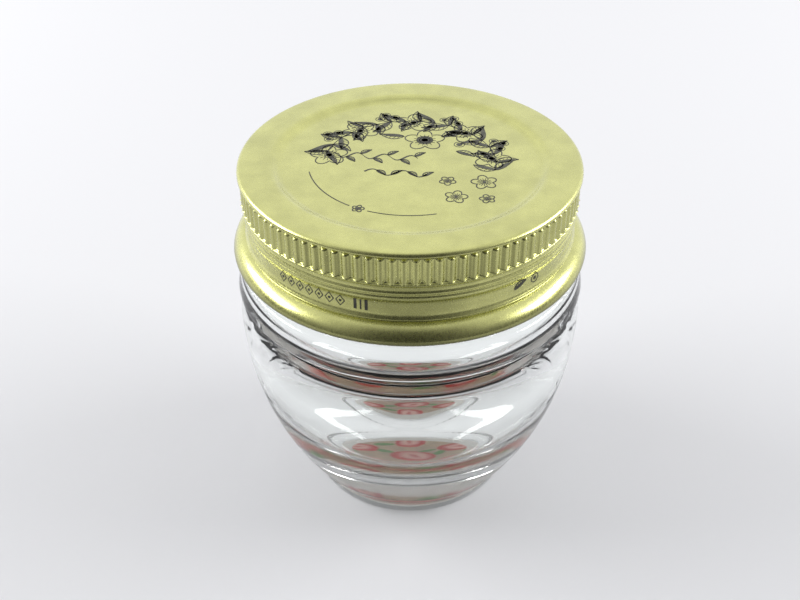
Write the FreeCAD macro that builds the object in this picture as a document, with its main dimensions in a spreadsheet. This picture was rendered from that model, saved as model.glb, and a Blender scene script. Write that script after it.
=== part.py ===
"""Small preserving jar of pressed glass, shut with a one-piece lacquered screw lid.

Millimetres. The jar stands on z = 0 with its axis on Z, and -Y is its front.
Pieces: glass_jar (an open-mouthed vessel), lid (rolled sheet metal with a ribbed
skirt and an outward curl) and base_label (a round paper label up in the hollow
of the base).
"""

import FreeCAD, Part
import math
import os
import Sketcher

# ------------------------------------------------------------ driving dimensions
SIZES = [
    ("total_height", 68.0, "foot to the top of the lid"),
    # glass body
    ("belly_radius", 31.1, "widest radius of the glass"),
    ("belly_drop", 5.2, "from the notch down to the widest circle"),
    ("shoulder_curve", 11.1, "radius of the arc from the belly up to the notch"),
    ("notch_gap", 0.35, "height of the straight bottom of the notch"),
    ("collar_inset", 0.1, "how much narrower the collar's lower edge is than the belly"),
    ("collar_gap", 0.4, "clearance between the collar's top and the lid's curl"),
    ("collar_lip", 0.95, "rounding of the collar's lower edge"),
    ("collar_taper", 1.05, "how much narrower the collar is at its top"),
    ("collar_height", 7.5, "from the notch to the collar's top face"),
    ("collar_round", 1.0, "rounding of the collar's upper edge"),
    ("heel_height", 3.0, "height of the rounding at the foot's outer edge"),
    ("heel_curve", 2.6, "radius of the rounding at the foot's outer edge"),
    ("heel_reach", 1.51614, "how far the body stands out over the foot at the heel"),
    ("foot_radius", 18.3, "outer radius of the ring that the jar stands on"),
    ("foot_width", 1.3, "width of the ring that the jar stands on"),
    ("push_up", 1.0, "depth of the hollow inside the foot ring"),
    ("push_up_slope", 0.15, "width of the slope into the hollow"),
    # cavity
    ("shoulder_wall", 2.4, "glass thickness at the collar, where the cavity is widest"),
    ("shoulder_drop", 4.3, "from the collar's top down to where the cavity is widest"),
    ("waist_wall", 6.7, "glass thickness behind the belly, where it is thickest"),
    ("waist_drop", 8.65, "from the notch down to the level of the thickest wall"),
    ("bowl_wall", 5.6, "from the belly in to the wall where the bowl of the base begins"),
    ("bowl_level", 26.9, "height at which the bowl of the base begins"),
    ("bowl_curve", 13.4, "radius of the arc from the wall into the bowl's cone"),
    ("bowl_angle", 39.6, "angle of the bowl's cone from upright, in degrees"),
    ("floor_curve", 2.3, "radius of the arc from the bowl's cone to the floor"),
    ("base_thickness", 4.65, "glass thickness in the middle of the base"),
    # neck
    ("mouth_inset", 6.8, "how much narrower the mouth's radius is than the belly's"),
    ("neck_wall", 3.0, "glass thickness of the neck"),
    ("rim_round", 0.8, "rounding of the glass rim's edges"),
    ("bore_rise", 1.65, "from the collar's top up to where the bore begins to open out"),
    # lid
    ("skirt_gap", 0.7, "clearance between the neck and the lid's skirt"),
    ("lid_sheet", 0.45, "thickness of the lid's sheet and lining"),
    ("rim_overhang", 0.7, "how far the rolled rim stands out over the skirt"),
    ("rim_corner", 0.45, "rounding of the lid's top edge"),
    ("rim_depth", 0.85, "height of the rolled rim"),
    ("rim_land", 5.05, "width of the flat ring between the panel's slope and the rim"),
    ("panel_slope", 2.5, "width of the slope round the panel"),
    ("panel_depth", 0.85, "how far the panel is sunk"),
    ("rib_count", 100, "ribs round the skirt"),
    ("rib_radius", 0.43, "radius of one rib"),
    ("rib_seat", 0.05, "how far a rib's axis stands out from the skirt"),
    ("crown_radius", 0.17, "radius of a rib's blunt top"),
    ("crown_height", 0.32, "height of the taper up to a rib's blunt top"),
    ("rib_top", 0.95, "from the lid's top to the top of the ribs"),
    ("rib_foot", 5.35, "from the lid's top to the foot of the ribs"),
    ("ledge_step", 0.55, "how far the ledge under the ribs stands out"),
    ("ledge_depth", 6.2, "from the lid's top to the lower edge of the ledge"),
    ("bead_depth", 7.75, "from the lid's top to the middle of the upper bead"),
    ("bead_step", 1.05, "from the upper bead to the lower one"),
    ("bead_height", 0.8, "height of one bead"),
    ("bead_lift", 0.22, "how far a bead stands out"),
    ("crease_rise", 3.35, "from the bottom of the curl up to the crease"),
    ("crease_height", 0.6, "height of the crease"),
    ("flare", 0.4, "how far the skirt flares above the crease"),
    ("curl_step", 0.95, "how far the curl's upper edge stands out from the skirt"),
    ("curl_height", 16.3, "from the lid's top to the bottom of the curl"),
    ("curl_reach", 2.65, "how far the curl stands out from the skirt"),
    ("curl_round", 0.9, "rounding of the curl's lower edge"),
    ("curl_bulge", 2.6, "radius of the arc down the curl's outer face"),
    # label
    ("label_margin", 0.15, "clearance between the label and the foot ring"),
    ("label_sheet", 0.2, "thickness of the label"),
]

document = FreeCAD.newDocument("jar")
table = document.addObject("Spreadsheet::Sheet", "Sizes")
for row, (alias, number, meaning) in enumerate(SIZES, start=1):
    table.set("A%d" % row, alias)
    table.set("B%d" % row, str(number))
    table.set("C%d" % row, meaning)
    table.setAlias("B%d" % row, alias)
document.recompute()


class Length:
    """A length with its value and the expression that gives it from the sheet."""

    def __init__(self, value, text):
        self.value = value
        self.text = text

    def _join(self, other, sign, value):
        text = other.text if isinstance(other, Length) else repr(float(other))
        return Length(value, "(%s %s %s)" % (self.text, sign, text))

    def __add__(self, other):
        return self._join(other, "+", self.value + number(other))

    def __sub__(self, other):
        return self._join(other, "-", self.value - number(other))

    def __mul__(self, other):
        return self._join(other, "*", self.value * number(other))

    def __truediv__(self, other):
        return self._join(other, "/", self.value / number(other))


def number(length):
    """The plain value of a Length or of a number."""
    return length.value if isinstance(length, Length) else float(length)


def root(length):
    """Square root of a Length."""
    return Length(math.sqrt(length.value), "sqrt(%s)" % length.text)


def cosine(angle):
    """Cosine of a cell in degrees."""
    return Length(math.cos(math.radians(angle.value)), "cos(%s)" % angle.text)


def sine(angle):
    """Sine of a cell in degrees."""
    return Length(math.sin(math.radians(angle.value)), "sin(%s)" % angle.text)


def size(alias):
    """The sheet's cell with this alias, as a Length."""
    return Length(float(table.get(alias)), "Sizes.%s" % alias)


ZERO = Length(0.0, "0")
ONE = Length(1.0, "1")


# ------------------------------------------------------------------- CAD helpers
def origin_feature(body, role):
    """The body's own origin plane or axis with this role."""
    return next(feature for feature in body.Origin.OriginFeatures if feature.Role == role)


def new_body(label):
    """An empty body whose name and label are the node's name."""
    body = document.addObject("PartDesign::Body", label)
    body.Label = label
    return body


def arc_between(start, end, radius, left):
    """The short arc of this radius from start to end.

    left says that its centre lies on the left of the way from start to end.
    """
    chord = end - start
    half = chord.Length / 2
    rise = math.sqrt(max(radius * radius - half * half, 0.0))
    across = FreeCAD.Vector(-chord.y, chord.x, 0).normalize()
    centre = (start + end) / 2 + across * (rise if left else -rise)
    first, last = (start, end) if left else (end, start)
    angles = [math.atan2(point.y - centre.y, point.x - centre.x) for point in (first, last)]
    if angles[1] < angles[0]:
        angles[1] += 2 * math.pi
    circle = Part.Circle(centre, FreeCAD.Vector(0, 0, 1), radius)
    return Part.ArcOfCircle(circle, angles[0], angles[1])


def half_section(body, name, path):
    """A closed sketch on the body's XZ plane, tied to the sheet.

    Each step of path is (radius, height) for a straight edge up to that corner,
    or (radius, height, curve, left) for an arc of that curve radius.
    """
    sketch = body.newObject("Sketcher::SketchObject", name)
    sketch.AttachmentSupport = [(origin_feature(body, "XZ_Plane"), "")]
    sketch.MapMode = "FlatFace"
    corners = [FreeCAD.Vector(step[0].value, step[1].value, 0) for step in path]
    starts = []
    for index, step in enumerate(path):
        start, end = corners[index - 1], corners[index]
        if len(step) == 2:
            sketch.addGeometry(Part.LineSegment(start, end), False)
            starts.append(1)
            continue
        sketch.addGeometry(arc_between(start, end, step[2].value, step[3]), False)
        starts.append(1 if step[3] else 2)
    for index, step in enumerate(path):
        after = (index + 1) % len(path)
        sketch.addConstraint(Sketcher.Constraint(
            "Coincident", index, 3 - starts[index], after, starts[after]))
        tie(sketch, "DistanceX", index, 3 - starts[index], step[0])
        tie(sketch, "DistanceY", index, 3 - starts[index], step[1])
        if len(step) > 2:
            row = sketch.addConstraint(Sketcher.Constraint("Radius", index, step[2].value))
            sketch.setExpression("Constraints[%d]" % row, step[2].text)
    return sketch


def tie(sketch, kind, edge, end, length):
    """Hold one coordinate of an edge's end at this length from the origin."""
    if abs(length.value) < 1e-9:
        axis = -2 if kind == "DistanceX" else -1
        sketch.addConstraint(Sketcher.Constraint("PointOnObject", edge, end, axis))
        return
    row = sketch.addConstraint(Sketcher.Constraint(kind, -1, 1, edge, end, length.value))
    sketch.setExpression("Constraints[%d]" % row, length.text)


def revolve(body, name, sketch):
    """A full turn of the sketch about the body's own Z axis."""
    turned = body.newObject("PartDesign::Revolution", name)
    turned.Profile = sketch
    turned.ReferenceAxis = (origin_feature(body, "Z_Axis"), [""])
    turned.Angle = 360
    return turned


def s_curve(start, end, steep):
    """Two equal arcs from start to end whose tangents at both ends agree.

    steep: the tangents are upright, otherwise they are level.
    """
    across = end[0] - start[0]
    along = end[1] - start[1]
    chord = across * across + along * along
    bend = chord / (across * 4) if steep else chord / (along * 4)
    curve = bend if bend.value > 0 else ZERO - bend
    middle = (start[0] + across / 2, start[1] + along / 2)
    turn = across.value * along.value > 0
    first_left = (not turn) if steep else turn
    return [middle + (curve, first_left), end + (curve, not first_left)]


# ------------------------------------------------------------- derived dimensions
top = size("total_height")
rim_top = top - size("lid_sheet")
belly = size("belly_radius")
bore = belly - size("mouth_inset")
neck_radius = bore + size("neck_wall")
skirt_inner = neck_radius + size("skirt_gap")
skirt_radius = skirt_inner + size("lid_sheet")
curl_low = top - size("curl_height")
collar_top = curl_low - size("collar_gap")
notch = collar_top - size("collar_height")
foot_outer = size("foot_radius")
hollow_radius = foot_outer - size("foot_width") - size("push_up_slope")


# ---------------------------------------------------------------------- glass_jar
def make_glass_jar():
    """Revolved vessel: foot ring, heel, belly, notch, collar, neck, bore and floor."""
    body = new_body("glass_jar")
    widest = notch - size("belly_drop")
    heel = size("heel_height")
    heel_radius = foot_outer + size("heel_reach")
    foot_inner = foot_outer - size("foot_width")
    hollow = size("push_up")

    # the belly's arc ends upright at the widest circle: radius (w^2 + h^2) / 2w
    bulge = belly - heel_radius
    climb = widest - heel
    curve = (bulge * bulge + climb * climb) / (bulge * 2)
    shoulder = size("shoulder_curve")
    rise = size("belly_drop")
    notch_radius = belly - shoulder + root(shoulder * shoulder - rise * rise)
    lip = size("collar_lip")
    lip_low = notch + size("notch_gap")
    collar = belly - size("collar_inset")
    collar_upper = collar - size("collar_taper")
    edge = size("collar_round")
    rim = size("rim_round")

    # the bowl: an upright tangent turns through bowl_angle, runs straight, then turns level
    floor = size("base_thickness")
    turn = size("bowl_angle")
    bowl_inside = belly - size("bowl_wall")
    cone_radius = bowl_inside - size("bowl_curve") * (ONE - cosine(turn))
    cone_level = size("bowl_level") - size("bowl_curve") * sine(turn)
    roll = size("floor_curve")
    roll_level = floor + roll * (ONE - sine(turn))
    roll_radius = cone_radius - (cone_level - roll_level) * sine(turn) / cosine(turn)

    path = [
        (ZERO, hollow),
        (hollow_radius, hollow),
        (foot_inner, ZERO),
        (foot_outer, ZERO),
        (heel_radius, heel, size("heel_curve"), True),
        (belly, widest, curve, True),
        (notch_radius, notch, shoulder, True),
        (collar - lip, lip_low),
        (collar, lip_low + lip, lip, True),
        (collar_upper, collar_top - edge),
        (collar_upper - edge, collar_top, edge, True),
        (neck_radius + rim, collar_top),
        (neck_radius, collar_top + rim, rim, False),
        (neck_radius, rim_top - rim),
        (neck_radius - rim, rim_top, rim, True),
        (bore + rim, rim_top),
        (bore, rim_top - rim, rim, True),
    ]
    bends = [
        (bore, collar_top + size("bore_rise")),
        (collar - size("shoulder_wall"), collar_top - size("shoulder_drop")),
        (belly - size("waist_wall"), notch - size("waist_drop")),
        (bowl_inside, size("bowl_level")),
    ]
    path.append(bends[0])
    for start, end in zip(bends, bends[1:]):
        path += s_curve(start, end, True)
    path += [
        (cone_radius, cone_level, size("bowl_curve"), False),
        (roll_radius, roll_level),
        (roll_radius - roll * cosine(turn), floor, roll, False),
        (ZERO, floor),
    ]
    revolve(body, "Vessel", half_section(body, "VesselSection", path))
    return body


# ---------------------------------------------------------------------------- lid
def make_lid():
    """Revolved sheet-metal lid with a ring of upright ribs on its skirt."""
    body = new_body("lid")
    sheet = size("lid_sheet")
    rim_radius = skirt_radius + size("rim_overhang")
    slope_end = rim_radius - size("rim_land")
    panel = slope_end - size("panel_slope")
    sunk = top - size("panel_depth")
    corner = size("rim_corner")
    ledge_radius = skirt_radius + size("ledge_step")
    ledge_top = top - size("rib_foot")
    ledge_low = top - size("ledge_depth")
    ledge_round = (ledge_top - ledge_low) / 2
    bead_half = size("bead_height") / 2
    lift = size("bead_lift")
    bead_curve = (bead_half * bead_half + lift * lift) / (lift * 2)
    crease = curl_low + size("crease_rise")
    crease_half = size("crease_height") / 2
    flare_radius = skirt_radius + size("flare")
    curl = skirt_radius + size("curl_reach")
    curl_round = size("curl_round")
    foot_edge = sheet * 0.5

    path = [(ZERO, sunk), (panel, sunk)]
    path += s_curve((panel, sunk), (slope_end, top), False)
    path += [
        (rim_radius - corner, top),
        (rim_radius, top - corner, corner, False),
        (rim_radius, top - size("rim_depth") + corner / 2),
        (skirt_radius, top - size("rim_depth")),
        (skirt_radius, ledge_top),
        (ledge_radius, ledge_top),
        (ledge_radius, ledge_top - ledge_round),
        (ledge_radius - ledge_round, ledge_low, ledge_round, False),
        (skirt_radius, ledge_low),
    ]
    for turn in range(2):
        middle = top - size("bead_depth") - size("bead_step") * turn
        path += [
            (skirt_radius, middle + bead_half),
            (skirt_radius, middle - bead_half, bead_curve, False),
        ]
    path += [
        (skirt_radius, crease + crease_half * 3),
        (flare_radius, crease + crease_half),
        (skirt_radius, crease),
        (skirt_radius + size("curl_step"), crease - crease_half),
        (curl, curl_low + curl_round, size("curl_bulge"), False),
        (curl - curl_round, curl_low, curl_round, False),
        (skirt_inner + foot_edge, curl_low),
        (skirt_inner, curl_low + foot_edge, foot_edge, False),
        (skirt_inner, rim_top - corner),
        (skirt_inner - corner, rim_top),
        (slope_end, rim_top),
    ]
    path += s_curve((slope_end, rim_top), (panel, sunk - sheet), False)
    path += [(ZERO, sunk - sheet)]
    shell = revolve(body, "Shell", half_section(body, "ShellSection", path))

    radius = size("rib_radius")
    seat = skirt_radius + size("rib_seat")
    sunk_foot = ledge_round / 2
    rib_height = size("rib_foot") - size("rib_top") - size("crown_height") + sunk_foot
    upright = body.newObject("PartDesign::AdditiveCylinder", "Rib")
    upright.setExpression("Height", rib_height.text)
    upright.setExpression("Radius", radius.text)
    crown = body.newObject("PartDesign::AdditiveCone", "RibCrown")
    crown.setExpression("Radius1", radius.text)
    crown.setExpression("Radius2", size("crown_radius").text)
    crown.setExpression("Height", size("crown_height").text)
    foot_level = ledge_top - sunk_foot
    for piece, level in ((upright, foot_level), (crown, foot_level + rib_height)):
        piece.AttachmentSupport = [(origin_feature(body, "XY_Plane"), "")]
        piece.MapMode = "FlatFace"
        piece.setExpression("AttachmentOffset.Base.x", seat.text + " * cos(180 / Sizes.rib_count)")
        piece.setExpression("AttachmentOffset.Base.y", seat.text + " * sin(180 / Sizes.rib_count)")
        piece.setExpression("AttachmentOffset.Base.z", level.text)

    ring = body.newObject("PartDesign::PolarPattern", "RibRing")
    ring.Originals = [upright, crown]
    ring.Axis = (origin_feature(body, "Z_Axis"), [""])
    ring.Angle = 360
    ring.setExpression("Occurrences", "Sizes.rib_count")
    body.Tip = ring
    document.recompute()
    if ring.Shape.Volume <= shell.Shape.Volume:
        raise RuntimeError("the ribs added nothing to the skirt")
    return body


# --------------------------------------------------------------------- base_label
def make_base_label():
    """Thin disc stuck to the ceiling of the base's hollow, inside the foot ring."""
    label = document.addObject("Part::Cylinder", "base_label")
    label.Label = "base_label"
    radius = hollow_radius - size("label_margin")
    label.setExpression("Radius", radius.text)
    label.setExpression("Height", size("label_sheet").text)
    label.setExpression("Placement.Base.z", (size("push_up") - size("label_sheet")).text)
    return label


# -------------------------------------------------------------------------- write
def check_and_write(parts):
    """Stop on any failed object or bad shape, then write one STEP file per piece."""
    document.recompute()
    for thing in document.Objects:
        if "Invalid" in thing.State or "Error" in thing.State:
            raise RuntimeError("%s failed: %s" % (thing.Label, thing.State))
    for part in parts:
        if part.Shape.isNull() or not part.Shape.isValid():
            raise RuntimeError("%s has no valid shape" % part.Label)
        if len(part.Shape.Solids) != 1:
            raise RuntimeError("%s isn't one solid" % part.Label)
    os.makedirs("parts", exist_ok=True)
    for part in parts:
        part.Shape.exportStep("parts/%s.step" % part.Label)
        print(part.Label, "volume", round(part.Shape.Volume, 1), part.Shape.BoundBox)


check_and_write([make_glass_jar(), make_lid(), make_base_label()])
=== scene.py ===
"""Small preserving jar of clear glass with a gold-green screw lid and a paper label.

Laid out as an add-on and run as a script. Lengths in the formulas are millimetres
and become metres where a mesh is made. The jar stands on z = 0, its axis on Z,
its front towards -Y.
"""

import math

import bpy
import numpy as np
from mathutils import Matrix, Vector


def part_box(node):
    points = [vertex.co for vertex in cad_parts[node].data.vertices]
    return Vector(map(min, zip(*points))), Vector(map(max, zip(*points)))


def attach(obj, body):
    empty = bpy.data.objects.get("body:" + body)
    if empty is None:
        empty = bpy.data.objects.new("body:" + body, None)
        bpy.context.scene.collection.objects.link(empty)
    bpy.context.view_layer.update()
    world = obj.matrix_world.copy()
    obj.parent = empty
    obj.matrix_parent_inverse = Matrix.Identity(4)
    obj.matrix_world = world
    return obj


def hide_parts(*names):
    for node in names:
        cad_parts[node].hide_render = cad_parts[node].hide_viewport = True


bl_info = {
    "name": "Preserving jar",
    "version": (1, 0, 0),
    "blender": (4, 5, 0),
    "location": "View3D > Sidebar > Jar",
    "description": "Builds a small preserving jar with its lid, label and studio",
    "category": "Object",
}

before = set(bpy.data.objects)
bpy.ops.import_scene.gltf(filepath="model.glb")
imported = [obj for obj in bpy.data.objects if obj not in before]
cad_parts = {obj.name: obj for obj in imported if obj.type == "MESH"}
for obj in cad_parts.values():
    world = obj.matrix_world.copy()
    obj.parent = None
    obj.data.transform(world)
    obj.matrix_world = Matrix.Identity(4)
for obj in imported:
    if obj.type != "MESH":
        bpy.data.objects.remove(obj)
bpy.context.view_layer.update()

MM = 0.001
LID_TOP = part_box("lid")[1][2] / MM
LID_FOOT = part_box("lid")[0][2] / MM
GLASS_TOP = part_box("glass_jar")[1][2] / MM
CURL_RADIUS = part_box("lid")[1][0] / MM
BELLY_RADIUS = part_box("glass_jar")[1][0] / MM
LABEL_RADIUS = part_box("base_label")[1][0] / MM
LABEL_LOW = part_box("base_label")[0][2] / MM
LABEL_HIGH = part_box("base_label")[1][2] / MM


# ------------------------------------------------------------------ user settings
class JarSizes(bpy.types.PropertyGroup):
    """Sizes a user would change."""

    base: bpy.props.FloatProperty(
        name="Base", description="Glass thickness in the middle of the base, in mm", default=4.65)
    relief: bpy.props.FloatProperty(
        name="Relief", description="Depth of the moulded leaves on the glass, in mm", default=0.17)
    ribs: bpy.props.IntProperty(
        name="Ribs", description="Ribs round the lid's skirt", default=100)


class JarColours(bpy.types.PropertyGroup):
    """Colours a user would change."""

    lacquer: bpy.props.FloatVectorProperty(
        name="Lacquer", description="Gold-green lacquer of the lid",
        subtype="COLOR", size=4, default=(0.66, 0.66, 0.25, 1.0))
    ink: bpy.props.FloatVectorProperty(
        name="Ink", description="Dark ink printed on the lid",
        subtype="COLOR", size=4, default=(0.05, 0.05, 0.035, 1.0))
    kraft: bpy.props.FloatVectorProperty(
        name="Kraft", description="Brown ground of the paper label",
        subtype="COLOR", size=4, default=(0.60, 0.45, 0.31, 1.0))
    red: bpy.props.FloatVectorProperty(
        name="Fruit", description="Red of the printed fruit",
        subtype="COLOR", size=4, default=(0.55, 0.05, 0.045, 1.0))
    flesh: bpy.props.FloatVectorProperty(
        name="Flesh", description="Pale flesh of the printed fruit",
        subtype="COLOR", size=4, default=(0.86, 0.52, 0.45, 1.0))
    leaf: bpy.props.FloatVectorProperty(
        name="Leaf", description="Green of the printed leaves",
        subtype="COLOR", size=4, default=(0.13, 0.30, 0.08, 1.0))
    floor: bpy.props.FloatVectorProperty(
        name="Floor", description="Pale studio floor",
        subtype="COLOR", size=4, default=(0.60, 0.60, 0.615, 1.0))


# ------------------------------------------------------------------- mesh makers
def arc_to(path, end, radius, left, count):
    """Adds the short arc of this radius from the path's last point to end.

    The centre stands half a chord along and sqrt(radius^2 - half^2) across, on the
    left of the way or on its right.
    """
    start = np.array(path[-1], float)
    end = np.array(end, float)
    chord = end - start
    half = np.hypot(*chord) / 2
    rise = math.sqrt(max(radius * radius - half * half, 0.0))
    across = np.array([-chord[1], chord[0]]) / (2 * half)
    centre = (start + end) / 2 + across * (rise if left else -rise)
    first = math.atan2(*(start - centre)[::-1])
    last = math.atan2(*(end - centre)[::-1])
    sweep = (last - first + math.pi) % (2 * math.pi) - math.pi
    for angle in first + sweep * np.arange(1, count + 1) / count:
        path.append((centre[0] + radius * math.cos(angle), centre[1] + radius * math.sin(angle)))


def line_to(path, end, count=1):
    """Adds a straight run of equal steps from the path's last point to end."""
    start = np.array(path[-1], float)
    for share in np.arange(1, count + 1) / count:
        path.append(tuple(start + (np.array(end) - start) * share))


def grid_faces(rows, columns):
    """Quads between neighbouring rows and columns of a grid that is closed round."""
    row = np.arange(rows - 1)[:, None] * columns
    here = np.arange(columns)[None, :]
    after = (here + 1) % columns
    return np.stack([row + here, row + after, row + columns + after, row + columns + here],
                    axis=-1).reshape(-1, 4)


def mesh_object(name, points, faces, material, smooth=True):
    """A mesh object at the origin from points in mm and index lists."""
    mesh = bpy.data.meshes.new(name)
    mesh.from_pydata((np.asarray(points) * MM).tolist(), [], faces)
    mesh.polygons.foreach_set("use_smooth", np.full(len(mesh.polygons), smooth))
    mesh.materials.append(material)
    mesh.validate()
    mesh.update()
    piece = bpy.data.objects.new(name, mesh)
    bpy.context.scene.collection.objects.link(piece)
    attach(piece, "root")
    return piece


def turned_surface(profile, turns, offset=None):
    """Points and faces of a profile turned about Z: x = r cos a, y = r sin a.

    The profile runs from axis to axis. Its first and last points become poles.
    offset(angle, radius, height) gives a radial shift for every grid point.
    """
    profile = np.array(profile, float)
    ring = profile[1:-1]
    angle = np.arange(turns) * 2 * np.pi / turns
    radius = np.repeat(ring[:, :1], turns, axis=1)
    height = np.repeat(ring[:, 1:], turns, axis=1)
    turn = np.repeat(angle[None, :], len(ring), axis=0)
    if offset is not None:
        radius = radius + offset(turn, radius, height)
    grid = np.stack([radius * np.cos(turn), radius * np.sin(turn), height], axis=-1).reshape(-1, 3)
    poles = np.array([[0, 0, profile[0, 1]], [0, 0, profile[-1, 1]]])
    points = np.concatenate([grid, poles])
    low, high = len(grid), len(grid) + 1
    here = np.arange(turns)
    after = (here + 1) % turns
    last_row = (len(ring) - 1) * turns
    fans = np.concatenate([
        np.stack([np.full(turns, low), after, here], axis=-1),
        np.stack([np.full(turns, high), last_row + here, last_row + after], axis=-1),
    ])
    return points, grid_faces(len(ring), turns).tolist() + fans.tolist()


# ------------------------------------------------------------------ shader helpers
def new_material(name):
    """A node material with its Principled shader."""
    material = bpy.data.materials.new(name)
    material.use_nodes = True
    return material, material.node_tree, material.node_tree.nodes["Principled BSDF"]


def tinted(colour, share):
    """A colour with its red, green and blue times share, none above 1."""
    return tuple(min(channel * share, 1.0) for channel in tuple(colour)[:3]) + (1.0,)


def math_node(tree, operation, first, second=None, clamp=False):
    """A Math node on sockets or numbers. Gives its output."""
    made = tree.nodes.new("ShaderNodeMath")
    made.operation = operation
    made.use_clamp = clamp
    for place, value in enumerate((first, second)):
        if value is None:
            continue
        if isinstance(value, (int, float)):
            made.inputs[place].default_value = value
        else:
            tree.links.new(value, made.inputs[place])
    return made.outputs[0]


def vector_math(tree, operation, *values):
    """A Vector Math node on sockets or vectors. Gives its number or its vector."""
    made = tree.nodes.new("ShaderNodeVectorMath")
    made.operation = operation
    for socket, value in zip(made.inputs, values):
        if isinstance(value, bpy.types.NodeSocket):
            tree.links.new(value, socket)
        else:
            socket.default_value = value
    return made.outputs["Value" if operation in ("LENGTH", "DOT_PRODUCT") else "Vector"]


def mix_colour(tree, factor, first, second):
    """A colour mix on sockets or colours. Gives its output."""
    made = tree.nodes.new("ShaderNodeMix")
    made.data_type = "RGBA"
    sockets = [made.inputs[0], made.inputs[6], made.inputs[7]]
    for socket, value in zip(sockets, (factor, first, second)):
        if isinstance(value, bpy.types.NodeSocket):
            tree.links.new(value, socket)
        else:
            socket.default_value = value
    return made.outputs[2]


def object_coordinates(tree):
    """The Object coordinates socket."""
    return tree.nodes.new("ShaderNodeTexCoord").outputs["Object"]


def split_place(tree):
    """The X, Y and Z sockets of the Object coordinates, in metres."""
    parts = tree.nodes.new("ShaderNodeSeparateXYZ")
    tree.links.new(object_coordinates(tree), parts.inputs[0])
    return parts.outputs


def axis_distance(tree, vector):
    """Distance of a point from the Z axis, in metres."""
    return vector_math(tree, "LENGTH", vector_math(tree, "MULTIPLY", vector, (1.0, 1.0, 0.0)))


def studio_rays(tree, backdrop):
    """Mask of the rays that see the plain white studio.

    Camera and transmission rays see it everywhere, glossy rays where backdrop is 1.
    """
    path = tree.nodes.new("ShaderNodeLightPath")
    seen = math_node(tree, "MAXIMUM", path.outputs["Is Camera Ray"],
                     path.outputs["Is Transmission Ray"])
    mirrored = math_node(tree, "MULTIPLY", path.outputs["Is Glossy Ray"], backdrop)
    return math_node(tree, "MAXIMUM", seen, mirrored)


def spread(tree, value, low, high, to_low, to_high):
    """Map Range from low..high to to_low..to_high, clamped."""
    made = tree.nodes.new("ShaderNodeMapRange")
    for place, number in zip(range(1, 5), (low, high, to_low, to_high)):
        made.inputs[place].default_value = number
    tree.links.new(value, made.inputs[0])
    return made.outputs[0]


def speckle_group():
    """Node group: a coarse and a fine mottle with sparse specks, as masks."""
    if "Mottle" in bpy.data.node_groups:
        return bpy.data.node_groups["Mottle"]
    group = bpy.data.node_groups.new("Mottle", "ShaderNodeTree")
    face = group.interface
    face.new_socket("Vector", in_out="INPUT", socket_type="NodeSocketVector")
    coarse = face.new_socket("Coarse scale", in_out="INPUT", socket_type="NodeSocketFloat")
    fine = face.new_socket("Fine scale", in_out="INPUT", socket_type="NodeSocketFloat")
    coarse.default_value, fine.default_value = 180.0, 1600.0
    for name in ("Mottle", "Grain", "Specks"):
        face.new_socket(name, in_out="OUTPUT", socket_type="NodeSocketFloat")
    entry = group.nodes.new("NodeGroupInput")
    leave = group.nodes.new("NodeGroupOutput")
    coarse_noise = group.nodes.new("ShaderNodeTexNoise")
    fine_noise = group.nodes.new("ShaderNodeTexNoise")
    cells = group.nodes.new("ShaderNodeTexVoronoi")
    for made, scale in ((coarse_noise, "Coarse scale"), (fine_noise, "Fine scale"),
                        (cells, "Fine scale")):
        group.links.new(entry.outputs["Vector"], made.inputs["Vector"])
        group.links.new(entry.outputs[scale], made.inputs["Scale"])
    coarse_noise.inputs["Detail"].default_value = 4.0
    fine_noise.inputs["Detail"].default_value = 3.0
    specks = spread(group, cells.outputs["Distance"], 0.05, 0.14, 1.0, 0.0)
    group.links.new(coarse_noise.outputs["Fac"], leave.inputs["Mottle"])
    group.links.new(fine_noise.outputs["Fac"], leave.inputs["Grain"])
    group.links.new(specks, leave.inputs["Specks"])
    return group


def mottle(tree, coarse, fine):
    """Places the mottle group on Object coordinates."""
    made = tree.nodes.new("ShaderNodeGroup")
    made.node_tree = speckle_group()
    made.inputs["Coarse scale"].default_value = coarse
    made.inputs["Fine scale"].default_value = fine
    tree.links.new(object_coordinates(tree), made.inputs["Vector"])
    return made


def add_bump(tree, shader, height, strength, distance):
    """A Bump node from height into the shader's Normal."""
    bump = tree.nodes.new("ShaderNodeBump")
    bump.inputs["Strength"].default_value = strength
    bump.inputs["Distance"].default_value = distance * MM
    tree.links.new(height, bump.inputs["Height"])
    tree.links.new(bump.outputs["Normal"], shader.inputs["Normal"])


# ---------------------------------------------------------------------- materials
ENAMEL = (0.86, 0.84, 0.76, 1.0)
PALE_PAPER = (0.84, 0.81, 0.77, 1.0)
NEAR_BLACK = (0.02, 0.02, 0.02, 1.0)
LINING_REACH = 28.2  # the enamel ends here, inside the sheet of the skirt, in mm


def glass_material():
    """Clear pressed glass with a slightly satin, wavy skin."""
    material, tree, shader = new_material("clear_glass")
    shader.inputs["Base Color"].default_value = (0.97, 0.985, 0.975, 1.0)
    shader.inputs["Transmission Weight"].default_value = 1.0
    shader.inputs["Roughness"].default_value = 0.035
    shader.inputs["IOR"].default_value = 1.5
    waves = tree.nodes.new("ShaderNodeTexNoise")
    waves.inputs["Scale"].default_value = 120.0
    tree.links.new(object_coordinates(tree), waves.inputs["Vector"])
    add_bump(tree, shader, waves.outputs["Fac"], 0.06, 0.5)
    return material


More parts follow.
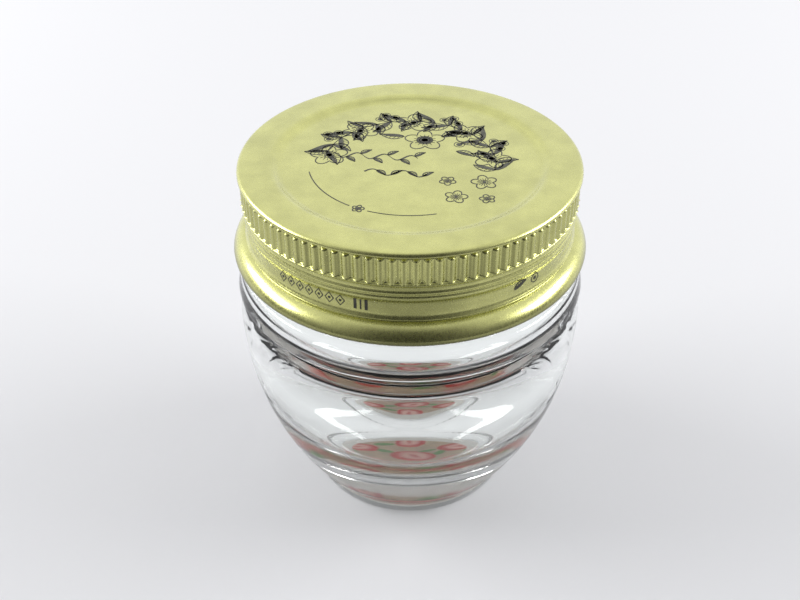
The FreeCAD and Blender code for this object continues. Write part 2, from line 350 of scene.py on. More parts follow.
def lacquer_material():
    """Gold-green lacquer over tinplate: satin, mottled, with painted shade that darkens the foot
    of the curl.

    Inside the skirt and under the panel it gives way to a pale enamel.
    """
    colours = bpy.context.scene.jar_colours
    material, tree, shader = new_material("gold_lacquer")
    shader.inputs["Coat Weight"].default_value = 0.5
    shader.inputs["Coat Roughness"].default_value = 0.08
    marks = mottle(tree, 260.0, 2600.0)
    dark = tinted(colours.lacquer, 0.86)
    shade = spread(tree, marks.outputs["Mottle"], 0.3, 0.7, 0.0, 1.0)
    tone = mix_colour(tree, shade, dark, tinted(colours.lacquer, 1.08))
    grain = spread(tree, marks.outputs["Grain"], 0.35, 0.65, 0.0, 0.35)
    tone = mix_colour(tree, grain, tone, dark)
    height = split_place(tree)["Z"]
    # painted shade: towards the foot of the curl the lacquer darkens to near black, where shade
    # falls under the lid
    painted_hem_shade = spread(tree, height, (LID_FOOT + 0.3) * MM, (LID_FOOT + 2.2) * MM, 0.86, 0.0)
    tone = mix_colour(tree, painted_hem_shade, tone, tinted(colours.lacquer, 0.16))
    within = spread(tree, axis_distance(tree, object_coordinates(tree)),
                    (LINING_REACH - 0.05) * MM, LINING_REACH * MM, 1.0, 0.0)
    under = spread(tree, height, (LID_TOP - 1.1) * MM, (LID_TOP - 1.0) * MM, 1.0, 0.0)
    lining = math_node(tree, "MULTIPLY", within, under)
    tone = mix_colour(tree, lining, tone, ENAMEL)
    tree.links.new(tone, shader.inputs["Base Color"])
    tree.links.new(spread(tree, lining, 0.0, 1.0, 0.96, 0.0), shader.inputs["Metallic"])
    tree.links.new(spread(tree, marks.outputs["Grain"], 0.3, 0.7, 0.22, 0.34),
                   shader.inputs["Roughness"])
    add_bump(tree, shader, marks.outputs["Grain"], 0.12, 0.05)
    return material


def ink_material():
    """Dark printing ink, thinner in places."""
    colours = bpy.context.scene.jar_colours
    material, tree, shader = new_material("lid_ink")
    marks = mottle(tree, 700.0, 3000.0)
    shade = spread(tree, marks.outputs["Mottle"], 0.45, 0.75, 0.0, 1.0)
    tone = mix_colour(tree, shade, tuple(colours.ink), tinted(colours.ink, 2.2))
    tree.links.new(tone, shader.inputs["Base Color"])
    shader.inputs["Roughness"].default_value = 0.45
    return material


def oval_group():
    """Node group: a soft-edged oval as a mask.

    The point is taken from the centre, turned, and divided by the half length and half
    width; the mask falls from 1 to 0 where its distance passes 1.
    """
    if "Printed oval" in bpy.data.node_groups:
        return bpy.data.node_groups["Printed oval"]
    group = bpy.data.node_groups.new("Printed oval", "ShaderNodeTree")
    face = group.interface
    for name, kind in (("Vector", "Vector"), ("Centre", "Vector"), ("Turn", "Float"),
                       ("Half size", "Vector"), ("Softness", "Float")):
        face.new_socket(name, in_out="INPUT", socket_type="NodeSocket" + kind)
    face.new_socket("Mask", in_out="OUTPUT", socket_type="NodeSocketFloat")
    entry = group.nodes.new("NodeGroupInput")
    leave = group.nodes.new("NodeGroupOutput")
    turn = group.nodes.new("ShaderNodeVectorRotate")
    turn.rotation_type = "Z_AXIS"
    shift = vector_math(group, "SUBTRACT", entry.outputs["Vector"], entry.outputs["Centre"])
    group.links.new(shift, turn.inputs["Vector"])
    group.links.new(entry.outputs["Turn"], turn.inputs["Angle"])
    scale = vector_math(group, "DIVIDE", turn.outputs[0], entry.outputs["Half size"])
    inside = math_node(group, "SUBTRACT", 1.0, vector_math(group, "LENGTH", scale))
    steep = math_node(group, "DIVIDE", inside, entry.outputs["Softness"])
    group.links.new(math_node(group, "ADD", steep, 0.5, clamp=True), leave.inputs["Mask"])
    return group


def print_oval(tree, vector, tone, colour, centre, turn, half_size, softness=0.12, share=1.0):
    """Prints an oval of this colour over tone. Lengths in mm, turn in degrees."""
    made = tree.nodes.new("ShaderNodeGroup")
    made.node_tree = oval_group()
    made.inputs["Centre"].default_value = (centre[0] * MM, centre[1] * MM, 0.0)
    made.inputs["Turn"].default_value = math.radians(turn)
    made.inputs["Half size"].default_value = (half_size[0] * MM, half_size[1] * MM, 1.0)
    made.inputs["Softness"].default_value = softness
    tree.links.new(vector, made.inputs["Vector"])
    mask = math_node(tree, "MULTIPLY", made.outputs["Mask"], share)
    return mix_colour(tree, mask, tone, colour)


# each printed half fruit: x and y in mm, turn in degrees, half length in mm
FRUITS = ((1.2, -1.5, 62, 5.6), (-9.6, 4.4, 150, 4.4), (9.8, 5.2, 20, 4.2),
          (-8.0, -9.4, 215, 3.9), (10.2, -7.6, 300, 4.1), (0.5, 11.4, 95, 3.8))
# each printed leaf, in the same order
LEAVES = ((-4.6, 3.4, 35, 2.6), (6.4, 1.2, 110, 2.4), (-12.6, -1.6, 80, 2.3),
          (3.4, -10.6, 10, 2.5), (13.2, -1.0, 60, 2.0), (-4.4, 9.2, 160, 2.2))


def label_material():
    """Mottled kraft paper with a pale margin, printed with halved fruits and leaves.

    A little noise is added to the place, so that the printed edges waver.
    """
    colours = bpy.context.scene.jar_colours
    material, tree, shader = new_material("label_paper")
    shader.inputs["Roughness"].default_value = 0.85
    marks = mottle(tree, 500.0, 2200.0)
    kraft, red = tuple(colours.kraft), tuple(colours.red)
    flesh, leaf = tuple(colours.flesh), tuple(colours.leaf)
    tone = mix_colour(tree, spread(tree, marks.outputs["Mottle"], 0.35, 0.65, 0.0, 1.0),
                      kraft, tinted(kraft, 0.78))
    place = object_coordinates(tree)
    wander = tree.nodes.new("ShaderNodeTexNoise")
    wander.inputs["Scale"].default_value = 420.0
    tree.links.new(place, wander.inputs["Vector"])
    sway = (1.1 * MM, 1.1 * MM, 0.0)
    vector = vector_math(tree, "MULTIPLY_ADD", wander.outputs["Color"], sway, place)
    for x, y, turn, half in LEAVES:
        tone = print_oval(tree, vector, tone, leaf, (x, y), turn, (half, half * 0.42))
    for x, y, turn, half in FRUITS:
        across = (math.cos(math.radians(turn)), math.sin(math.radians(turn)))
        tone = print_oval(tree, vector, tone, red, (x, y), turn, (half, half * 0.78))
        heart = (x + across[0] * half * 0.12, y + across[1] * half * 0.12)
        tone = print_oval(tree, vector, tone, flesh, heart, turn,
                          (half * 0.70, half * 0.48), 0.5, 0.9)
        tone = print_oval(tree, vector, tone, red, heart, turn,
                          (half * 0.42, half * 0.13), 0.7, 0.7)
        stalk = (x + across[0] * half * 1.08, y + across[1] * half * 1.08)
        tone = print_oval(tree, vector, tone, leaf, stalk, turn + 90,
                          (half * 0.36, half * 0.14), 0.3)
    margin = spread(tree, axis_distance(tree, vector), 12.7 * MM, 13.1 * MM, 0.0, 1.0)
    tone = mix_colour(tree, margin, tone, PALE_PAPER)
    tree.links.new(tone, shader.inputs["Base Color"])
    add_bump(tree, shader, marks.outputs["Grain"], 0.2, 0.05)
    return material


def floor_material():
    """Matt card that shows as near-white paper to the eye and through the glass.

    The rays that see the white studio meet an added glow, so the jar's shadow stays and
    the card throws no extra light on the jar. In front of the jar a strip of the card is
    darker to glossy rays: a painted shadow that the lid's skirt reflects.
    """
    colours = bpy.context.scene.jar_colours
    material, tree, shader = new_material("studio_floor")
    shader.inputs["Roughness"].default_value = 0.8
    shader.inputs["Specular IOR Level"].default_value = 0.2
    place = split_place(tree)
    far = spread(tree, place["Y"], -0.2, 0.35, 0.0, 1.0)
    tone = mix_colour(tree, far, tuple(colours.floor), tinted(colours.floor, 1.06))
    glossy = tree.nodes.new("ShaderNodeLightPath").outputs["Is Glossy Ray"]
    # painted shadow: to glossy rays a strip of card in front of the jar turns darker, and the
    # lid's skirt reflects it
    shade = spread(tree, math_node(tree, "ABSOLUTE", place["X"]), 0.025, 0.085, 0.52, 0.0)
    ahead = spread(tree, place["Y"], -0.06, 0.0, 1.0, 0.0)
    shade = math_node(tree, "MULTIPLY", math_node(tree, "MULTIPLY", shade, ahead), glossy)
    tree.links.new(mix_colour(tree, shade, tone, NEAR_BLACK), shader.inputs["Base Color"])
    seen = studio_rays(tree, spread(tree, place["Y"], 0.0, 0.15, 0.0, 1.0))
    near = spread(tree, place["Y"], -0.22, 0.35, 0.10, 0.24)
    away = spread(tree, vector_math(tree, "LENGTH", object_coordinates(tree)),
                  0.4, 2.2, 0.0, 0.7)
    glow = math_node(tree, "ADD", near, away)
    shader.inputs["Emission Color"].default_value = (0.985, 0.985, 1.0, 1.0)
    tree.links.new(math_node(tree, "MULTIPLY", seen, glow), shader.inputs["Emission Strength"])
    return material


# -------------------------------------------------------------------------- glass
FOOT_OUTER, FOOT_INNER = 18.3, 17.0
COLLAR, COLLAR_TOP, NOTCH_LEVEL = 31.0, 51.3, 43.8
BORE, NECK, BORE_END = 24.3, 27.3, 52.95
ROUND, LIP = 0.8, 1.0  # rounding of the rim and neck, and of the collar's lip
SHOULDER_HOLLOW, WAIST, BOWL = (28.6, 47.0), (24.4, 35.15), (25.5, 26.9)
BOWL_CURVE, BOWL_TURN, FLOOR_CURVE = 13.4, math.radians(39.6), 2.3
GLASS_TURNS = 400


def s_bend_to(path, end, count):
    """Adds two equal arcs with upright tangents at both ends.

    Their radius is (w^2 + h^2) / 4w for a run w across and h along.
    """
    start = path[-1]
    wide, high = end[0] - start[0], end[1] - start[1]
    radius = (wide * wide + high * high) / (4 * abs(wide))
    left = wide * high < 0
    middle = (start[0] + wide / 2, start[1] + high / 2)
    arc_to(path, middle, radius, left, count)
    arc_to(path, end, radius, not left, count)


def outer_profile():
    """Half section of the outside, from the hollow of the base up to the mouth."""
    belly, widest, curve = BELLY_RADIUS, 38.6, 61.8
    shoulder, taper, heel = 11.1, 1.05, 3.0
    notch = belly - shoulder + math.sqrt(shoulder ** 2 - (NOTCH_LEVEL - widest) ** 2)
    heel_radius = belly - curve + math.sqrt(curve ** 2 - (widest - heel) ** 2)
    path = [(0.0, LABEL_HIGH)]
    # hollow of the base, foot ring and heel
    line_to(path, (FOOT_INNER - 0.15, LABEL_HIGH), 6)
    line_to(path, (FOOT_INNER, 0.25), 2)
    arc_to(path, (FOOT_INNER + 0.3, 0.0), 0.35, True, 3)
    line_to(path, (FOOT_OUTER, 0.0), 3)
    arc_to(path, (heel_radius, heel), 2.6, True, 7)
    # belly and shoulder
    arc_to(path, (belly, widest), curve, True, 64)
    arc_to(path, (notch, NOTCH_LEVEL), shoulder, True, 14)
    # notch and tapered collar
    arc_to(path, (notch + 0.12, NOTCH_LEVEL + 0.35), 0.3, False, 3)
    arc_to(path, (COLLAR, NOTCH_LEVEL + 1.3), 1.05, True, 8)
    line_to(path, (COLLAR - taper, COLLAR_TOP - LIP), 6)
    arc_to(path, (COLLAR - taper - LIP, COLLAR_TOP), LIP, True, 5)
    # neck and rim
    line_to(path, (NECK + ROUND, COLLAR_TOP))
    arc_to(path, (NECK, COLLAR_TOP + ROUND), ROUND, False, 4)
    line_to(path, (NECK, GLASS_TOP - ROUND), 3)
    arc_to(path, (NECK - ROUND, GLASS_TOP), ROUND, True, 4)
    line_to(path, (BORE + ROUND, GLASS_TOP), 2)
    arc_to(path, (BORE, GLASS_TOP - ROUND), ROUND, True, 4)
    return path


def glass_profile(sizes):
    """Half section of the vessel, out from the base, up, over the mouth and down inside.

    The bowl turns from upright through an angle f on a large arc, runs straight, and
    turns level on a small arc, so no tangent jumps.
    """
    path = outer_profile()
    line_to(path, (BORE, BORE_END), 3)
    s_bend_to(path, SHOULDER_HOLLOW, 10)
    s_bend_to(path, WAIST, 12)
    s_bend_to(path, BOWL, 7)
    cosine, sine = math.cos(BOWL_TURN), math.sin(BOWL_TURN)
    cone = (BOWL[0] - BOWL_CURVE * (1 - cosine), BOWL[1] - BOWL_CURVE * sine)
    low = sizes.base + FLOOR_CURVE * (1 - sine)
    reach = cone[0] - (cone[1] - low) * math.tan(BOWL_TURN)
    arc_to(path, cone, BOWL_CURVE, False, 12)
    line_to(path, (reach, low), 6)
    arc_to(path, (reach - FLOOR_CURVE * cosine, sizes.base), FLOOR_CURVE, False, 10)
    line_to(path, (0.0, sizes.base), 5)
    return path


# each moulded leaf: azimuth from the front in degrees, height, turn in degrees, length in mm
MOULDED = tuple(
    (side * azimuth, height, side * turn, length)
    for side in (-1, 1)
    for azimuth, height, turn, length in (
        (62, 29.5, 30, 8.0), (70, 23.0, 60, 7.5), (77, 33.0, -20, 8.0), (75, 16.5, 75, 7.0),
        (86, 26.0, 15, 8.5), (84, 18.0, -35, 7.0), (95, 33.0, 40, 8.0), (97, 22.0, -10, 7.5)))


def relief(depth):
    """Radial shift of the moulded leaves on the belly and of the dots at the heel.

    A leaf is a sunk outline and vein: with (s, h) the way along and across it, its edge
    is h = w sin(pi s / L), and the groove is -depth exp(-(distance / width)^2). Dots
    stand out round the heel: their height times the positive part of a product of two
    cosines.
    """
    edge_width, vein_width, vein_share, fullness = 0.5, 0.42, 0.8, 0.22
    dots_round, dot_height = 72, 0.1

    def shift(turn, radius, height):
        sunk = np.zeros_like(radius)
        belly = (radius > 25.9) & (height > 10.0) & (height < 38.5)
        for azimuth, level, lean, length in MOULDED:
            middle = math.radians(azimuth - 90)
            along = (np.mod(turn - middle + np.pi, 2 * np.pi) - np.pi) * BELLY_RADIUS
            up = height - level
            cosine, sine = math.cos(math.radians(lean)), math.sin(math.radians(lean))
            run = along * cosine + up * sine + length / 2
            off = np.abs(up * cosine - along * sine)
            share = np.clip(run / length, 0, 1)
            edge = length * fullness * np.sin(np.pi * share)
            beyond = np.maximum(np.abs(run - length / 2) - length / 2, 0)
            rim = np.hypot(off - edge, beyond)
            vein = np.hypot(off, beyond)
            groove = (np.exp(-(rim / edge_width) ** 2)
                      + vein_share * np.exp(-(vein / vein_width) ** 2))
            sunk = np.maximum(sunk, np.minimum(groove, 1.0))
        heel = (radius > FOOT_OUTER - 0.2) & (height > 0.15) & (height < 3.2)
        dots = np.maximum(np.cos(turn * dots_round) * np.cos((height - 1.0) * 2.4), 0)
        return np.where(belly, -sunk * depth, 0.0) + np.where(heel, dots * dot_height, 0.0)

    return shift


def build_glass(sizes):
    """The vessel, turned from its profile, with its material."""
    points, faces = turned_surface(glass_profile(sizes), GLASS_TURNS, relief(sizes.relief))
    piece = mesh_object("jar_glass", points, faces, glass_material())
    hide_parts("glass_jar")
    return piece


# ---------------------------------------------------------------------------- lid
SKIRT, RIM, SHEET = 28.45, 29.2, 0.45
PANEL, PANEL_SLOPE, PANEL_DROP = 21.6, 2.5, 0.85
SLOPE_CURVE, CURL_ROUND = 2.05, 0.9
COLUMNS_PER_RIB = 8


def lid_profile():
    """Half section of the lid's sheet, from the panel's middle out, down and back."""
    top = LID_TOP
    middle, inside = PANEL + PANEL_SLOPE / 2, SKIRT - SHEET
    path = [(0.0, top - PANEL_DROP)]
    # sunk panel, S-shaped slope and rim
    line_to(path, (PANEL * 0.5, top - PANEL_DROP), 2)
    line_to(path, (PANEL, top - PANEL_DROP), 3)
    arc_to(path, (middle, top - PANEL_DROP / 2), SLOPE_CURVE, True, 5)
    arc_to(path, (PANEL + PANEL_SLOPE, top), SLOPE_CURVE, False, 5)
    line_to(path, (RIM - 0.75, top), 4)
    arc_to(path, (RIM, top - 0.7), 0.8, False, 7)
    line_to(path, (RIM - 0.1, top - 0.82))
    # groove under the rim, then the band that carries the ribs
    line_to(path, (SKIRT - 0.2, top - 0.9), 3)
    line_to(path, (SKIRT - 0.2, top - 1.2), 2)
    line_to(path, (SKIRT, top - 1.3))
    for drop, count in ((2.0, 6), (4.9, 3), (5.4, 4)):
        line_to(path, (SKIRT, top - drop), count)
    # ledge under the ribs
    arc_to(path, (SKIRT + 0.5, top - 5.8), 0.5, True, 4)
    arc_to(path, (SKIRT + 0.05, top - 6.35), 0.5, False, 4)
    line_to(path, (SKIRT - 0.1, top - 6.9), 2)
    line_to(path, (SKIRT, top - 7.4), 2)
    # two beads and the plain band
    arc_to(path, (SKIRT, top - 8.1), 0.45, False, 5)
    arc_to(path, (SKIRT, top - 9.2), 0.7, False, 6)
    line_to(path, (SKIRT, top - 11.6), 3)
    # flare, crease and curl
    arc_to(path, (SKIRT + 0.38, top - 12.45), 1.6, True, 5)
    arc_to(path, (SKIRT + 0.3, top - 12.75), 0.2, False, 4)
    line_to(path, (SKIRT - 0.1, top - 12.95), 2)
    line_to(path, (SKIRT + 0.6, top - 13.2), 2)
    arc_to(path, (CURL_RADIUS, LID_FOOT + CURL_ROUND), 3.4, False, 10)
    arc_to(path, (CURL_RADIUS - CURL_ROUND, LID_FOOT), CURL_ROUND, False, 6)
    # back up the inside, one sheet in
    line_to(path, (inside + 0.3, LID_FOOT), 3)
    line_to(path, (inside, LID_FOOT + 0.3))
    line_to(path, (inside, top - 1.0), 4)
    line_to(path, (inside - 0.5, top - SHEET), 2)
    line_to(path, (PANEL + PANEL_SLOPE, top - SHEET), 3)
    arc_to(path, (middle, top - SHEET - PANEL_DROP / 2), SLOPE_CURVE, True, 3)
    arc_to(path, (PANEL, top - SHEET - PANEL_DROP), SLOPE_CURVE, False, 3)
    line_to(path, (0.0, top - SHEET - PANEL_DROP), 2)
    return path


def rib_offset(count):
    """Radial shift of round-ended ribs.

    A rib is a capsule of half width w that stands out by l on the skirt: the shift is
    l sqrt(1 - (d / w)^2), where d is the distance along the skirt from the capsule's
    straight middle line.
    """
    half, lift = 0.6, 0.48
    high, low = LID_TOP - 1.88, LID_TOP - 5.25

    def shift(turn, radius, height):
        pitch = 2 * np.pi / count
        along = (np.mod(turn, pitch) - pitch / 2) * radius
        beyond = np.maximum(height - high, 0) + np.maximum(low - height, 0)
        away = (along ** 2 + beyond ** 2) / half ** 2
        outside = (radius > SKIRT - 0.25) & (height < LID_TOP - 0.9) & (height > LID_TOP - 6.0)
        return np.where(outside, lift * np.sqrt(np.maximum(1 - away, 0)), 0.0)

    return shift


def build_lid(sizes):
    """The lid, turned from its profile, with ribs on its skirt."""
    points, faces = turned_surface(lid_profile(), sizes.ribs * COLUMNS_PER_RIB,
                                   rib_offset(sizes.ribs))
    faces = [face[::-1] for face in faces]
    piece = mesh_object("lid_shell", points, faces, lacquer_material())
    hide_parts("lid")
    return piece


# ------------------------------------------------------------------ printed marks
def stroke(path, width):
    """Edges of a flat ribbon: every point of the path moves half the width to both sides."""
    path = np.asarray(path, float)
    along = np.gradient(path, axis=0)
    along /= np.maximum(np.hypot(along[:, 0], along[:, 1]), 1e-9)[:, None]
    across = np.stack([-along[:, 1], along[:, 0]], axis=-1)
    half = np.broadcast_to(np.asarray(width, float) / 2, len(path))[:, None]
    return np.stack([path + across * half, path - across * half])


def ring(radius, count=25, start=0.0, end=360.0):
    """Points on a circle's arc round the origin."""
    angle = np.radians(np.linspace(start, end, count))
    return np.stack([radius * np.cos(angle), radius * np.sin(angle)], axis=-1)


def disc(radius):
    """A filled dot: a stroke as wide as the circle, 2 sqrt(r^2 - x^2), at every x."""
    across = radius * np.cos(np.linspace(np.pi, 0, 9))
    width = np.maximum(2 * np.sqrt(np.maximum(radius ** 2 - across ** 2, 0)), 0.02)
    return stroke(np.stack([across, np.zeros(9)], axis=-1), width)


def leaf_marks(length):
    """A leaf: edges at +-w sin(pi s^0.8), a vein and one side filled with short hatching."""
    share = np.linspace(0, 1, 13)
    line = np.stack([share * length, 0.4 * share * (1 - share) * length], axis=-1)
    rise = length * 0.2 * np.sin(np.pi * share ** 0.8)
    up = np.stack([np.zeros(13), rise], axis=-1)
    marks = [stroke(line + up, 0.2), stroke(line - up, 0.2), stroke(line[:11], 0.13),
             stroke(line - up / 2, np.maximum(rise * 0.75, 0.02))]
    for place in (3, 5, 7, 9):
        marks.append(stroke([line[place - 1], line[place] + up[place] * 0.85], 0.09))
    return marks


def flower_marks(radius):
    """Five petals, r = R (0.6 + 0.4 |cos 2.5a|), with rays and a dark middle."""
    angle = np.linspace(0, 2 * np.pi, 61)
    reach = radius * (0.6 + 0.4 * np.abs(np.cos(2.5 * angle)))
    outline = np.stack([reach * np.cos(angle), reach * np.sin(angle)], axis=-1)
    marks = [stroke(outline, 0.22), stroke(ring(radius * 0.26), 0.14), disc(radius * 0.17)]
    for turn in np.radians(np.arange(0, 360, 24)):
        ray = np.outer([0.32, 0.55], [math.cos(turn), math.sin(turn)]) * radius
        marks.append(stroke(ray, 0.13))
    return marks


def berry_marks(radius):
    """A dark berry with a ring round it."""
    return [stroke(ring(radius), 0.14), disc(radius * 0.6)]


def vine_marks(length, waves):
    """A wavy stem, y = 0.9 sin(2 pi n x / L), with a small leaf at every crest."""
    across = np.linspace(-length / 2, length / 2, 24 * waves + 1)
    wave = 0.9 * np.sin(2 * np.pi * waves * across / length)
    width = 0.1 + 0.26 * np.abs(np.cos(np.pi * waves * across / length))
    marks = [stroke(np.stack([across, wave], axis=-1), width)]
    for step in range(2 * waves):
        place = (12 * step + 6) + 3
        lean = 42 if step % 2 else -42
        marks += placed(leaf_marks(2.3), (across[place], wave[place]), lean)
    return marks


def placed(marks, at, turn=0.0):
    """Marks turned by this many degrees and moved to a place."""
    cosine, sine = math.cos(math.radians(turn)), math.sin(math.radians(turn))
    matrix = np.array([[cosine, sine], [-sine, cosine]])
    return [mark @ matrix + np.asarray(at, float) for mark in marks]


def garland(radius, start, end):
    """A stem along an arc with leaves outwards and inwards, flowers and berries."""
    marks = [stroke(ring(radius, 60, start, end), 0.16)]
    for count, azimuth in enumerate(np.arange(start, end, 10.5)):
        spot = ring(radius, 1, azimuth)[0]
        side = 36 if count % 2 else -36
        marks += placed(leaf_marks(5.0 if count % 3 else 4.2), spot, azimuth + 90 + side)
        marks += placed(leaf_marks(4.0), spot, azimuth + 90 - side * 2.1)
        if count % 4 == 1:
            marks += placed(flower_marks(3.3), ring(radius - 0.6, 1, azimuth + 5)[0], azimuth)
        if count % 4 == 3:
            for lean in (-4, 1, 6):
                spot = ring(radius + 2.9 - abs(lean - 1) * 0.25, 1, azimuth + lean)[0]
                marks += placed(berry_marks(0.8), spot)
    return marks


def lid_ornament():
    """The panel's print: a garland round the back, flowers, vines and broken arcs."""
    marks = garland(14.6, -12, 176)
    marks += placed(flower_marks(3.6) + [disc(1.5)], (2.6, 7.4), 18)
    marks += placed(leaf_marks(4.4), (-1.0, 8.8), 168) + placed(leaf_marks(4.2), (5.6, 8.6), 24)
    marks += placed(leaf_marks(3.6), (8.0, 3.4), -32) + placed(berry_marks(0.9), (8.6, 5.8))
    marks += placed(vine_marks(14.0, 3), (-5.6, 1.6), -6)
    marks += placed(vine_marks(10.5, 2), (-2.4, -4.0), -6)
    marks += [stroke(ring(17.2, 30, 192, 236), 0.2), stroke(ring(17.2, 30, 247, 284), 0.2)]
    marks += placed(flower_marks(1.0), ring(17.2, 1, 241.5)[0])
    for at, size in (((7.4, -11.6), 1.9), ((12.2, -7.0), 2.2), ((6.2, -6.6), 1.4),
                     ((12.4, -12.2), 1.3)):
        marks += placed(flower_marks(size), at, at[0] * 20)
    return marks


def skirt_ornament():
    """Marks for the skirt, as arc length from the front and height: a band of lozenges,
    bars and, on the other side, a leaf and two rings."""
    level = LID_TOP - 10.45
    diamond = np.array([(0.75, 0), (0, 0.95), (-0.75, 0), (0, -0.95), (0.75, 0)])
    marks = []
    for step in range(7):
        marks += placed([stroke(diamond, 0.2), disc(0.24)], (-22.5 + step * 1.9, level))
    for step, wide in enumerate((0.5, 0.25, 0.5)):
        marks += placed([stroke([(0, -0.95), (0, 0.95)], wide)], (-8.6 + step * 0.9, level))
    marks += placed(leaf_marks(2.6), (17.5, level - 0.3), 20)
    marks += placed([stroke(ring(0.8), 0.18)], (22.0, level)) + placed([disc(0.35)], (22.0, level))
    return marks


def ink_mesh(name, marks, lift):
    """One mesh of all marks. lift turns their flat places into points in space."""
    points, faces, first = [], [], 0
    for mark in marks:
        count = mark.shape[1]
        here = first + np.arange(count - 1)
        points.append(lift(mark.reshape(-1, 2)))
        faces.append(np.stack([here + count, here + count + 1, here + 1, here], axis=-1))
        first += 2 * count
    return mesh_object(name, np.concatenate(points), np.concatenate(faces).tolist(),
                       ink_material(), smooth=False)


def build_print():
    """The ink on the lid's panel and on its skirt, just clear of the metal."""
    level = LID_TOP - PANEL_DROP + 0.02
    skirt = SKIRT + 0.03

    def on_panel(flat):
        return np.column_stack([flat, np.full(len(flat), level)])

    def on_skirt(flat):
        angle = flat[:, 0] / skirt - np.pi / 2
        return np.column_stack([skirt * np.cos(angle), skirt * np.sin(angle), flat[:, 1]])

    return [ink_mesh("lid_print", lid_ornament(), on_panel),
            ink_mesh("skirt_print", skirt_ornament(), on_skirt)]


# -------------------------------------------------------------------------- label
def build_label():
    """The round paper disc in the hollow of the base, its top just inside the glass."""
    high, low = LABEL_HIGH + 0.05, LABEL_LOW
    path = [(0.0, low)]
    line_to(path, (LABEL_RADIUS, low), 8)
    line_to(path, (LABEL_RADIUS, high))
    line_to(path, (0.0, high), 8)
    points, faces = turned_surface(path, 180)
    piece = mesh_object("label_disc", points, faces, label_material(), smooth=False)
    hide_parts("base_label")
    return piece


# -------------------------------------------------------------------------- stage
# the camera's distance in front of the axis, its height over the lid, its pitch in degrees
CAMERA_BACK, CAMERA_RISE, CAMERA_PITCH = 0.14925, 0.0832, 37.3


def area_lamp(name, place, target, size, power):
    """A rectangular area lamp at place, aimed at target, in metres and watts."""
    lamp = bpy.data.lights.new(name, "AREA")
    lamp.shape = "RECTANGLE"
    lamp.size, lamp.size_y = size
    lamp.energy = power
    made = bpy.data.objects.new(name, lamp)
    made.location = place
    made.rotation_euler = (Vector(target) - Vector(place)).to_track_quat("-Z", "Y").to_euler()
    bpy.context.scene.collection.objects.link(made)


def build_world():
    """A soft surround: dim at the horizon and where the camera stands, bright overhead.

    The rays that see the white studio meet plain white instead.
    """
    world = bpy.data.worlds.new("studio")
    bpy.context.scene.world = world
    world.use_nodes = True
    tree = world.node_tree
    background = tree.nodes["Background"]
    direction = tree.nodes.new("ShaderNodeTexCoord").outputs["Generated"]
    parts = tree.nodes.new("ShaderNodeSeparateXYZ")
    tree.links.new(direction, parts.inputs[0])
    level = spread(tree, parts.outputs["Z"], 0.05, 0.60, 0.12, 0.90)
    towards = vector_math(tree, "DOT_PRODUCT", direction, (0.0, -0.80, 0.60))
    dim = spread(tree, towards, 0.55, 0.95, 1.0, 0.06)
    seen = studio_rays(tree, spread(tree, parts.outputs["Y"], 0.0, 0.5, 0.0, 1.0))
    strength = math_node(tree, "MAXIMUM", math_node(tree, "MULTIPLY", level, dim), seen)
    background.inputs["Color"].default_value = (0.97, 0.98, 1.0, 1.0)
    tree.links.new(strength, background.inputs["Strength"])


def build_stage():
    """Floor, surround, lamps and camera."""
    floor_mesh = bpy.data.meshes.new("floor")
    reach = 4.0
    floor_mesh.from_pydata([(-reach, -reach, 0), (reach, -reach, 0), (reach, reach, 0),
                            (-reach, reach, 0)], [], [(0, 1, 2, 3)])
    floor_mesh.materials.append(floor_material())
    floor = bpy.data.objects.new("floor", floor_mesh)
    bpy.context.scene.collection.objects.link(floor)
    build_world()
    middle = (0, 0, 0.05)
    area_lamp("left_window", (-0.62, 0.10, 0.38), middle, (0.50, 0.22), 3.4)
    area_lamp("right_window", (0.62, 0.06, 0.36), middle, (0.45, 0.20), 2.9)
    lens = bpy.data.cameras.new("camera")
    lens.sensor_width = 36.0
    lens.lens = 45.0
    lens.shift_x = -0.0125
    lens.clip_start = 0.005
    camera = bpy.data.objects.new("camera", lens)
    camera.location = (0.0, -CAMERA_BACK, LID_TOP * MM + CAMERA_RISE)
    camera.rotation_euler = (math.radians(90 - CAMERA_PITCH), 0.0, 0.0)
    bpy.context.scene.collection.objects.link(camera)
    bpy.context.scene.camera = camera
    bpy.context.scene.view_settings.view_transform = "Standard"


# ----------------------------------------------------------------------- add-on
class BuildGlass(bpy.types.Operator):
    """Build the glass vessel"""

    bl_idname = "jar.build_glass"
    bl_label = "Build glass"

    def execute(self, context):
        """Make the vessel or raise an error."""
        if not len(build_glass(context.scene.jar_sizes).data.polygons):
            raise RuntimeError("the glass has no faces")
        return {"FINISHED"}


class BuildLid(bpy.types.Operator):
    """Build the lid with its ribs"""

    bl_idname = "jar.build_lid"
    bl_label = "Build lid"

    def execute(self, context):
        """Make the lid or raise an error."""
        if not len(build_lid(context.scene.jar_sizes).data.polygons):
            raise RuntimeError("the lid has no faces")
        return {"FINISHED"}


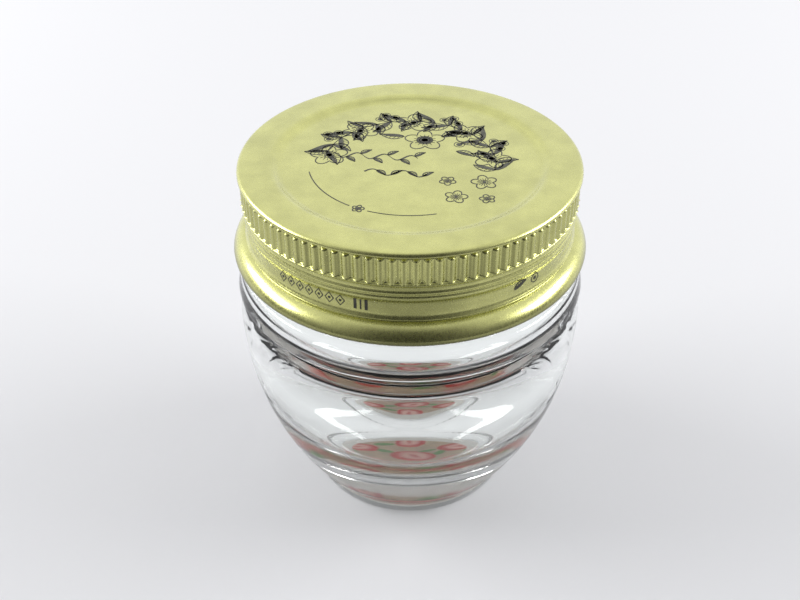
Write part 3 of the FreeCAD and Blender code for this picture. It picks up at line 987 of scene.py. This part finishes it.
class BuildPrint(bpy.types.Operator):
    """Build the ink on the lid"""

    bl_idname = "jar.build_print"
    bl_label = "Build print"

    def execute(self, context):
        """Make the ink or raise an error."""
        if not all(len(piece.data.polygons) for piece in build_print()):
            raise RuntimeError("the lid's ink has no faces")
        return {"FINISHED"}


class BuildLabel(bpy.types.Operator):
    """Build the paper label under the base"""

    bl_idname = "jar.build_label"
    bl_label = "Build label"

    def execute(self, context):
        """Make the label or raise an error."""
        if not len(build_label().data.polygons):
            raise RuntimeError("the label has no faces")
        return {"FINISHED"}


class BuildStage(bpy.types.Operator):
    """Build the floor, lamps and camera"""

    bl_idname = "jar.build_stage"
    bl_label = "Build stage"

    def execute(self, context):
        """Make the stage or raise an error."""
        build_stage()
        if context.scene.camera is None:
            raise RuntimeError("the stage has no camera")
        return {"FINISHED"}


class JarPanel(bpy.types.Panel):
    """Sidebar panel with the jar's settings and builders"""

    bl_idname = "VIEW3D_PT_jar"
    bl_label = "Preserving jar"
    bl_space_type = "VIEW_3D"
    bl_region_type = "UI"
    bl_category = "Jar"

    def draw(self, context):
        """List the settings, then the operators."""
        for group in (context.scene.jar_sizes, context.scene.jar_colours):
            for name in group.__annotations__:
                self.layout.prop(group, name)
        for operator in OPERATORS:
            self.layout.operator(operator.bl_idname)


OPERATORS = (BuildGlass, BuildLid, BuildPrint, BuildLabel, BuildStage)
CLASSES = (JarSizes, JarColours) + OPERATORS + (JarPanel,)


def register():
    """Register the classes and the scene's settings."""
    for item in CLASSES:
        bpy.utils.register_class(item)
    bpy.types.Scene.jar_sizes = bpy.props.PointerProperty(type=JarSizes)
    bpy.types.Scene.jar_colours = bpy.props.PointerProperty(type=JarColours)


def unregister():
    """Remove the settings and the classes."""
    del bpy.types.Scene.jar_colours
    del bpy.types.Scene.jar_sizes
    for item in reversed(CLASSES):
        bpy.utils.unregister_class(item)


def main():
    """Build everything in order."""
    register()
    bpy.ops.jar.build_glass()
    bpy.ops.jar.build_lid()
    bpy.ops.jar.build_print()
    bpy.ops.jar.build_label()
    bpy.ops.jar.build_stage()


if __name__ == "__main__":
    main()
